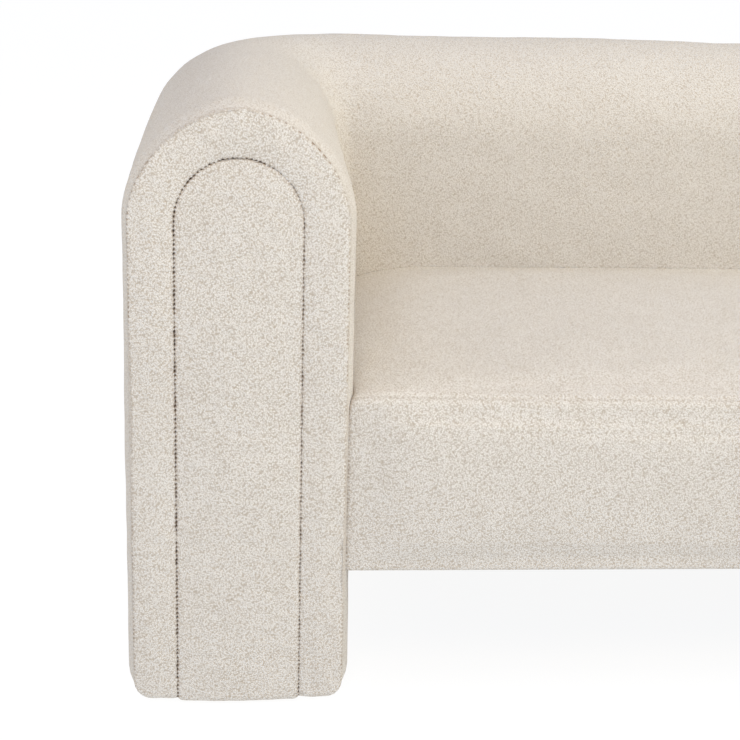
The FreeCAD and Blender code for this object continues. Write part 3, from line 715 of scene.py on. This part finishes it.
def roughen_front(obj, rear):
    """Slight unevenness of the stuffed face, the same for band and panel; nothing moves at the back."""
    co = positions(obj)
    facing = smoothstep(-co[:, 1], -rear + 0.002, -FRONT - 0.004)
    flat = co * (1, 0, 1)
    fine = Ripple(11, 0.012, 0.035).at(flat) * FRONT_FINE_RIPPLE
    broad = Ripple(12, 0.09, 0.22).at(flat) * FRONT_BROAD_RIPPLE
    co[:, 1] -= (fine + broad) * facing
    set_positions(obj, co)


def front_held(co):
    """1 at an arm front's seams, foot and back, 0 in the middle of the band and of the panel."""
    across = np.abs(np.abs(co[:, 0]) - ARM_AXIS)
    from_arch = np.hypot(across, np.maximum(co[:, 2] - INNER_SPRING, 0))
    at_seam = 1 - smoothstep(np.abs(from_arch - PANEL_HALF), 0.004, 0.016)
    half = HALF_WALL - BAND_INSET
    above = np.maximum(co[:, 2] - SPRING_LINE, 0)
    power = CROWN_POWER_FRONT
    reach = ((across / half) ** power + (above / half) ** power) ** (1 / power)
    at_rim = 1 - smoothstep(half * (1 - reach), 0.003, 0.014)
    at_foot = 1 - smoothstep(co[:, 2], FOOT + 0.006, FOOT + 0.03)
    behind = smoothstep(co[:, 1], FRONT + 0.004, FRONT + 0.012)
    return np.clip(np.maximum.reduce([at_seam, at_rim, at_foot, behind]), 0, 1)


def front_band(side, seam):
    """Padded arch strip round an arm's front, pulled in at the rim and at the inner seam."""
    outer_u, outer_z, inner_u, inner_z, along = band_curves(seam)
    pull = seam.pull(along)
    width = HALF_WALL - BAND_INSET - PANEL_HALF
    columns = np.concatenate([[0, 0.012, 0.03, 0.06, 0.1], np.linspace(0.17, 0.78, 9)])
    columns = np.concatenate([columns, [0.84, 0.89, 0.925, 0.95, 0.962, 0.974, 0.985, 0.994, 1.0]])
    rings = []
    shades = []
    for k in range(len(outer_u)):
        u = outer_u[k] + (inner_u[k] - outer_u[k]) * columns
        z = outer_z[k] + (inner_z[k] - outer_z[k]) * columns
        share = pull[k] * seam_share(inner_u[k], inner_z[k])
        outer_share = OUTER_PULL * pull[-1 - k]
        drop = seam_drop((1 - columns) * width, share)
        drop = drop + roll(columns * width, RIM_ROLL, RIM_DROP + RIM_PULL_DROP * outer_share)
        drop = drop + roll(z - BAND_FOOT, BOTTOM_ROLL, BOTTOM_DROP)
        crown = BAND_CROWN * np.sin(columns * math.pi) ** 0.8
        front = np.stack([side * (ARM_AXIS - u), FRONT - crown + drop, z], axis=1)
        back = front[[-1, 0]].copy()
        back[:, 1] = BAND_HIGH.y - 0.001
        rings.append(np.concatenate([front, back]))
        # painted seam shadow along the inner seam and the outer rim seam, dotted with the stitch pull
        shade = seam_shade((1 - columns) * width, share) + seam_shade(columns * width, outer_share)
        shades.append(np.concatenate([shade, [share, 0.0]]))
    name = "front_band_" + ("left" if side < 0 else "right")
    obj = weld(ring_stack(name, rings, shades), 0.00003)
    roughen_front(obj, BAND_HIGH.y)
    return obj


def front_panel(side, seam):
    """Padded panel inside the band, from its foot up to the top of the arch."""
    legs, _ = contour_rows()
    legs = PANEL_FOOT + legs * (INNER_SPRING - PANEL_FOOT)
    arch_angles = span(0, math.pi / 2, CONTOUR_STEP / PANEL_HALF)[1:]
    base_z = np.concatenate([legs, np.full(len(arch_angles), INNER_SPRING)])
    across = np.sin(np.linspace(-1, 1, 41) * math.pi / 2)
    crown_length = PANEL_HALF * math.pi
    rings = []
    shades = []
    for k, low_z in enumerate(base_z):
        angle = 0.0 if k < len(legs) else arch_angles[k - len(legs)]
        near = low_z + angle * PANEL_HALF
        far = 2 * INNER_SPRING + crown_length - near
        edges = [PANEL_HALF + seam.wander(np.array([place]))[0] for place in (near, far)]
        pulls = [seam.pull(np.array([place]))[0] for place in (near, far)]
        z = low_z + PANEL_HALF * math.sin(angle)
        lift = min(max(PANEL_CORNER - (z - PANEL_FOOT), 0.0), PANEL_CORNER)
        narrowing = PANEL_CORNER - math.sqrt(PANEL_CORNER**2 - lift**2)
        reach = math.cos(angle)
        inner_end = edges[0] * reach - narrowing
        outer_end = edges[1] * reach - narrowing
        blend = (across + 1) / 2
        u = -outer_end + (inner_end + outer_end) * blend
        above = z - INNER_SPRING
        distance = PANEL_HALF - (np.hypot(u, above) if above > 0 else np.abs(u))
        share = (pulls[1] + (pulls[0] - pulls[1]) * blend) * seam_share(u, z)
        drop = seam_drop(distance, share) + float(roll(z - PANEL_FOOT, BOTTOM_ROLL, BOTTOM_DROP))
        crown = PANEL_CROWN * (1 - np.clip(1 - distance / PANEL_HALF, 0, 1) ** 2)
        y = FRONT - PANEL_PROUD - crown + drop
        front = np.stack([side * (ARM_AXIS - u), y, np.full(len(u), z)], axis=1)
        back = front[[-1, 0]].copy()
        back[:, 1] = PANEL_HIGH.y - 0.001
        rings.append(np.concatenate([front, back]))
        # painted seam shadow along the panel's edge, dotted with the stitch pull
        shades.append(np.concatenate([seam_shade(distance, share), share[[-1, 0]]]))
    name = "front_panel_" + ("left" if side < 0 else "right")
    obj = weld(ring_stack(name, rings, shades), 0.00003)
    roughen_front(obj, PANEL_HIGH.y)
    return obj


# ---- seat ----
SEAT_EDGE = 0.016
SEAT_SIDE_WIDTH = (0.030, 0.145)
SEAT_SIDE_DROP = (0.006, 0.031)
# strength of the painted seam shadow down the seat's front side seams
SIDE_SEAM_SHADOW = 0.8
# the painted crevice shade beside the arms covers y forward of minus this value
CREVICE_SHADE_END = 0.33
TOP_SEAM_SHADE = 0.16
SEAT_TOP_FRONT = 0.409
SEAT_TOP_REAR = 0.4215
SEAT_LOWER_EDGE = 0.005
SEAT_FRONT_BULGE = 0.004
SEAT_BROAD_RIPPLE = 0.0016
SEAT_FINE_RIPPLE = 0.0003


def seat_top_height(y):
    """Height of the seat's crowned top from front to back."""
    t = np.clip((y - SEAT_LOW.y) / (BACK_FACE - SEAT_LOW.y), 0, 1)
    return SEAT_TOP_FRONT + (SEAT_TOP_REAR - SEAT_TOP_FRONT) * np.sin(t * math.pi / 2) ** 0.75


def seat_section():
    """Loop round the seat in the Y-Z plane, starting at the bottom of the front."""
    front = SEAT_LOW.y
    bottom = SEAT_LOW.z - 0.0015
    points = []
    lower = SEAT_LOWER_EDGE
    for angle in np.linspace(0, math.pi / 2, 5):
        points.append((front + lower * (1 - math.sin(angle)), bottom + lower * (1 - math.cos(angle))))
    edge_z = seat_top_height(front + SEAT_EDGE) - SEAT_EDGE
    for z in span(bottom + lower, edge_z, 0.0018)[1:]:
        points.append((front, z))
    for angle in np.linspace(0, math.pi / 2, 9)[1:]:
        points.append((front + SEAT_EDGE * (1 - math.cos(angle)), edge_z + SEAT_EDGE * math.sin(angle)))
    for y in span(front + SEAT_EDGE, BACK_FACE + 0.004, GRID)[1:]:
        points.append((y, float(seat_top_height(y))))
    for z in span(points[-1][1] - 0.01, bottom + 0.003, 0.02):
        points.append((BACK_FACE + 0.004, z))
    for y in span(BACK_FACE, front + lower, 0.02)[:-1]:
        points.append((y, bottom + 0.003))
    return np.array(points)


def between_ends(pair, share):
    return pair[0] + (pair[1] - pair[0]) * share


def seat_pad():
    """Seat with its top falling away to the arms, more at the back than at the front."""
    section = seat_section()
    half = INNER_X + 0.0025
    xs = np.concatenate([[0, 0.0006, 0.0025, 0.006], span(0.012, half, GRID)]) - half
    xs = np.concatenate([xs, -xs[:-1][::-1]])
    to_back = np.clip((section[:, 0] - SEAT_LOW.y) / (BACK_FACE - SEAT_LOW.y), 0, 1)
    top = smoothstep(section[:, 1], SEAT_TOP_FRONT - 0.06, SEAT_TOP_FRONT + 0.003)
    at_front = smoothstep(-section[:, 0], -SEAT_LOW.y - 0.02, -SEAT_LOW.y)
    # painted seam shadow, dotted, down the seat's front side seams
    stitched = at_front * SIDE_SEAM_SHADOW * SeamLine(19).pull(section[:, 1])
    # painted shade in the crevice where the seat's top meets the arms, towards the front
    crevice_shade = 0.85 * top * smoothstep(-section[:, 0], CREVICE_SHADE_END, CREVICE_SHADE_END + 0.05)
    on_edge = (section[:, 1] > SEAT_TOP_FRONT - 0.004) & (section[:, 0] < SEAT_LOW.y + SEAT_EDGE)
    crest = np.argmax(on_edge)
    # painted seam shadow: a faint dark line along the seat's front top seam
    edge_seam_shadow = np.zeros(len(section))
    edge_seam_shadow[crest] = TOP_SEAM_SHADE
    rings = []
    shades = []
    for x in xs:
        side = half - abs(x)
        y, z = section[:, 0].copy(), section[:, 1].copy()
        fall = np.clip(1 - side / between_ends(SEAT_SIDE_WIDTH, to_back), 0, 1) ** 2
        drop = between_ends(SEAT_SIDE_DROP, to_back) * fall + float(roll(side, 0.012, 0.006))
        z -= drop * top
        y += float(roll(side, 0.008, 0.004)) * at_front
        spread = front_inset(y) * float(smoothstep(-side, -0.05, 0.0)) * math.copysign(1, x)
        rings.append(np.stack([x + spread, y, z], axis=1))
        beside = math.exp(-((side / 0.0032) ** 2))
        shades.append(np.maximum(edge_seam_shadow, beside * np.maximum(stitched, crevice_shade)))
    return weld(ring_stack("seat_pad", rings, shades), 0.00005)


def seat_held(co):
    """1 where the seat is fixed to its frame or tucked against its neighbours, 0 where it is free."""
    side = INNER_X - np.abs(co[:, 0])
    low = 1 - smoothstep(co[:, 2], SEAT_LOW.z + 0.005, SEAT_LOW.z + 0.04)
    rear = smoothstep(co[:, 1], BACK_FACE - 0.06, BACK_FACE - 0.005)
    beside = 1 - smoothstep(side, 0.005, 0.06)
    return np.clip(np.maximum(np.maximum(low, rear), beside), 0, 1)


def shape_seat(obj):
    """Slight bulge of the seat's front and unevenness of its stuffing."""
    co = positions(obj)
    side = INNER_X - np.abs(co[:, 0])
    free = smoothstep(side, 0.0, 0.05) * smoothstep(BACK_FACE - co[:, 1], -0.004, 0.05)
    free = free * smoothstep(co[:, 2], SEAT_LOW.z + 0.002, SEAT_LOW.z + 0.03)
    broad = Ripple(21, 0.18, 0.5).at(co) * SEAT_BROAD_RIPPLE
    fine = Ripple(22, 0.035, 0.09).at(co) * SEAT_FINE_RIPPLE
    bulge = SEAT_FRONT_BULGE * smoothstep(-co[:, 1], -SEAT_LOW.y - 0.01, -SEAT_LOW.y)
    height = np.clip((co[:, 2] - SEAT_LOW.z) / (SEAT_TOP_FRONT - SEAT_LOW.z), 0, 1)
    push(obj, (broad + fine + bulge * np.sin(height * math.pi)) * free)


# ---- outside of the back ----
PANEL_EDGE_SHADE = 0.35
PANEL_EDGE_ROLL = 0.010
PANEL_EDGE_DROP = 0.0035
BACK_PANEL_PROUD = 0.0012
PANEL_BROAD_RIPPLE = 0.0012
PANEL_FINE_RIPPLE = 0.0003


def close_at_edges(low, high):
    """Places from low to high about GRID apart, closer together beside both edges."""
    first_half = np.concatenate([[0, 0.001, 0.003, 0.006], span(0.011, (high - low) / 2, GRID)]) + low
    return np.concatenate([first_half, low + high - first_half[:-1][::-1]])


def outside_back():
    """Flat panel that closes the back from behind, with rolled edges."""
    low, high = BACK_PANEL_LOW, BACK_PANEL_HIGH
    xs = close_at_edges(low.x, high.x)
    zs = close_at_edges(low.z, high.z)
    rings = []
    shades = []
    for x in xs:
        edge = np.minimum(np.minimum(x - low.x, high.x - x), np.minimum(zs - low.z, high.z - zs))
        y = high.y + BACK_PANEL_PROUD - roll(edge, PANEL_EDGE_ROLL, PANEL_EDGE_DROP)
        face = np.stack([np.full(len(zs), x), y, zs], axis=1)
        back = face[[-1, 0]].copy()
        back[:, 1] = low.y - 0.004
        rings.append(np.concatenate([face, back]))
        # painted seam shadow round the panel's rolled edge
        shades.append(np.concatenate([seam_shade(edge, PANEL_EDGE_SHADE), [0.0, 0.0]]))
    obj = weld(ring_stack("outside_back_panel", rings, shades), 0.00005)
    co = positions(obj)
    set_shade(obj, "nap", np.ones(len(co)))
    facing = smoothstep(co[:, 1], high.y - 0.004, high.y)
    broad = Ripple(31, 0.15, 0.4).at(co) * PANEL_BROAD_RIPPLE
    fine = Ripple(32, 0.03, 0.08).at(co) * PANEL_FINE_RIPPLE
    push(obj, (broad + fine) * facing)
    return obj


def outside_back_held(co):
    """1 where the outside back is tacked down: its edges and its reverse."""
    low, high = BACK_PANEL_LOW, BACK_PANEL_HIGH
    edge = np.minimum(high.x - np.abs(co[:, 0]), np.minimum(co[:, 2] - low.z, high.z - co[:, 2]))
    tacked = 1 - smoothstep(edge, 0.005, 0.05)
    behind = 1 - smoothstep(co[:, 1], high.y - 0.006, high.y - 0.002)
    return np.clip(np.maximum(tacked, behind), 0, 1)


# ---- underside ----
STAPLE_PITCH = 0.05
STAPLE_SAG = 0.0006
SHEET_SAG = 0.004
LEG_TAPER = 17 / 24


def dust_sheet(node):
    """Thin cloth stretched under the frame, with a slight sag between its staples."""
    low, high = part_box(node)
    xs = span(low.x, high.x, 0.02)
    ys = span(low.y, high.y, 0.02)
    rings = []
    centre = ((low.x + high.x) / 2, (low.y + high.y) / 2)
    for y in ys:
        edge = np.minimum(
            (high.x - low.x) / 2 - np.abs(xs - centre[0]), (high.y - low.y) / 2 - abs(y - centre[1])
        )
        between_staples = np.sin(xs * 2 * math.pi / STAPLE_PITCH) * np.exp(-edge / 0.02)
        sag = SHEET_SAG * smoothstep(edge, 0.0, 0.12) + STAPLE_SAG * between_staples
        rings.append(np.stack([xs, np.full(len(xs), y), low.z - sag], axis=1))
    points = np.array(rings).reshape(-1, 3)
    return new_object(node + "_sheet", points, grid_faces(len(ys), len(xs)))


def turned_leg(node):
    """Tapered round leg, turned with a shallow collar and a softened foot."""
    low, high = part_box(node)
    centre = (low + high) / 2
    top = (high.x - low.x) / 2
    height = high.z - low.z
    foot = top * LEG_TAPER
    outline = [(0.0, 0.0), (foot - 0.003, 0.0), (foot - 0.001, 0.0008), (foot, 0.003)]
    for t in np.linspace(0.05, 0.92, 12):
        outline.append((foot + (top - foot) * t + 0.0006 * math.sin(t * math.pi), height * t))
    outline += [(top - 0.0025, height * 0.935), (top - 0.0025, height * 0.945), (top, height * 0.955)]
    outline += [(top, height - 0.002), (top - 0.0015, height), (0.0, height)]
    angles = np.linspace(0, 2 * math.pi, 48, endpoint=False)
    rings = []
    for radius, z in outline:
        x = centre.x + radius * np.cos(angles)
        y = centre.y + radius * np.sin(angles)
        rings.append(np.stack([x, y, np.full(len(angles), low.z + z)], axis=1))
    faces = grid_faces(len(rings), len(angles), wrap=True)
    obj = new_object(node + "_turned", np.concatenate(rings), faces)
    return weld(obj, 0.00002)


# ---- stage, light and camera ----
CAMERA_PLACE = (-0.944, -2.436, 1.034)
CAMERA_PITCH = math.radians(16.596)
CAMERA_YAW = math.radians(4.078)
CAMERA_ROLL = math.radians(1.391)
CAMERA_LENS = 83.84


def add_camera():
    forward = Vector(
        (
            math.sin(CAMERA_YAW) * math.cos(CAMERA_PITCH),
            math.cos(CAMERA_YAW) * math.cos(CAMERA_PITCH),
            -math.sin(CAMERA_PITCH),
        )
    )
    level = Vector((math.cos(CAMERA_YAW), -math.sin(CAMERA_YAW), 0.0))
    upright = level.cross(forward)
    right = level * math.cos(CAMERA_ROLL) + upright * math.sin(CAMERA_ROLL)
    up = upright * math.cos(CAMERA_ROLL) - level * math.sin(CAMERA_ROLL)
    data = bpy.data.cameras.new("camera")
    data.lens = CAMERA_LENS
    data.sensor_width = 36.0
    data.clip_end = 50.0
    camera = bpy.data.objects.new("camera", data)
    turn = Matrix((right, up, -forward)).transposed().to_4x4()
    camera.matrix_world = Matrix.Translation(CAMERA_PLACE) @ turn
    bpy.context.scene.collection.objects.link(camera)
    bpy.context.scene.camera = camera


def add_area_light(name, place, target, size, power, colour):
    data = bpy.data.lights.new(name, "AREA")
    data.size = size
    data.energy = power
    data.color = colour
    light = bpy.data.objects.new(name, data)
    light.location = place
    direction = Vector(target) - Vector(place)
    light.rotation_euler = direction.to_track_quat("-Z", "Y").to_euler()
    bpy.context.scene.collection.objects.link(light)


FLOOR_SIZE = 14.0
HORIZON = (0.52, 0.50, 0.48)
ZENITH = (0.68, 0.715, 0.85)
FLOOR_GREY = (0.12, 0.12, 0.12, 1.0)
FLOOR_GLOW = 0.92
# lamp: place, the point it faces, width, power, colour
LAMPS = {
    "key": ((-0.9, -2.9, 3.0), (-0.2, 0.0, 0.4), 1.1, 45.0, (1.0, 0.78, 0.46)),
    "cool_far": ((-1.2, -4.4, 2.2), (-0.2, 0.0, 0.4), 2.0, 38.0, (0.05, 0.42, 1.0)),
    "right": ((3.0, -1.1, 2.6), (-0.6, 0.1, 0.45), 2.0, 88.0, (1.0, 0.99, 0.88)),
    "left": ((-3.4, -1.3, 2.2), (-0.6, 0.1, 0.45), 1.4, 10.0, (1.0, 0.98, 0.94)),
}


def add_world():
    """Dim studio walls under a bright, slightly cool ceiling."""
    world = bpy.data.worlds.new("studio")
    bpy.context.scene.world = world
    world.use_nodes = True
    tree = world.node_tree
    source = tree.nodes.new("ShaderNodeTexCoord")
    split = tree.nodes.new("ShaderNodeSeparateXYZ")
    tree.links.new(source.outputs["Generated"], split.inputs[0])
    colour = ramp(tree, split.outputs["Z"], [(0.42, HORIZON), (0.80, ZENITH)])
    tree.links.new(colour, tree.nodes["Background"].inputs["Color"])


def add_stage():
    corners = [(-FLOOR_SIZE, -FLOOR_SIZE, 0), (FLOOR_SIZE, -FLOOR_SIZE, 0)]
    corners += [(FLOOR_SIZE, FLOOR_SIZE, 0), (-FLOOR_SIZE, FLOOR_SIZE, 0)]
    floor = new_object("floor", corners, [(0, 1, 2, 3)], smooth=False)
    material, _, shader = new_material("floor", roughness=0.9)
    shader.inputs["Base Color"].default_value = FLOOR_GREY
    shader.inputs["Specular IOR Level"].default_value = 0.0
    shader.inputs["Emission Color"].default_value = (1.0, 1.0, 1.0, 1)
    shader.inputs["Emission Strength"].default_value = FLOOR_GLOW
    floor.data.materials.append(material)
    add_world()
    for name, lamp in LAMPS.items():
        add_area_light(name, *lamp)
    bpy.context.scene.view_settings.view_transform = "Standard"


# ---- put it together ----
add_camera()
add_stage()
dress_cad_nodes()

wall = wall_skin()
shape_wall(wall)
finish_piece(wall, "boucle", "wall_cover", "arm_wadding_left", "arm_wadding_right", "back_wadding")

inner_seam = SeamLine(7)
for side, word in ((-1, "left"), (1, "right")):
    for make, place in ((front_band, "arm_front_band_"), (front_panel, "arm_front_panel_")):
        piece = make(side, inner_seam)
        swell(piece, voxel=0.008, cap=0.0025, held=front_held)
        finish_piece(piece, "boucle", place + word)

seat = seat_pad()
swell(seat, voxel=0.018, cap=0.006, held=seat_held)
shape_seat(seat)
finish_piece(seat, "boucle", "seat_cover", "seat_wadding", "seat_foam")

back_panel = outside_back()
swell(back_panel, voxel=0.016, cap=0.003, held=outside_back_held)
finish_piece(back_panel, "boucle", "outside_back_cover")

for node, rest in (("seat_dust_cover", "seat_front_rail"), ("back_dust_cover", "back_bottom_rail")):
    sheet = finish_piece(dust_sheet(node), "dust_cloth", node)

for node in ("centre_leg_front", "centre_leg_rear"):
    finish_piece(turned_leg(node), "leg_wood", node)
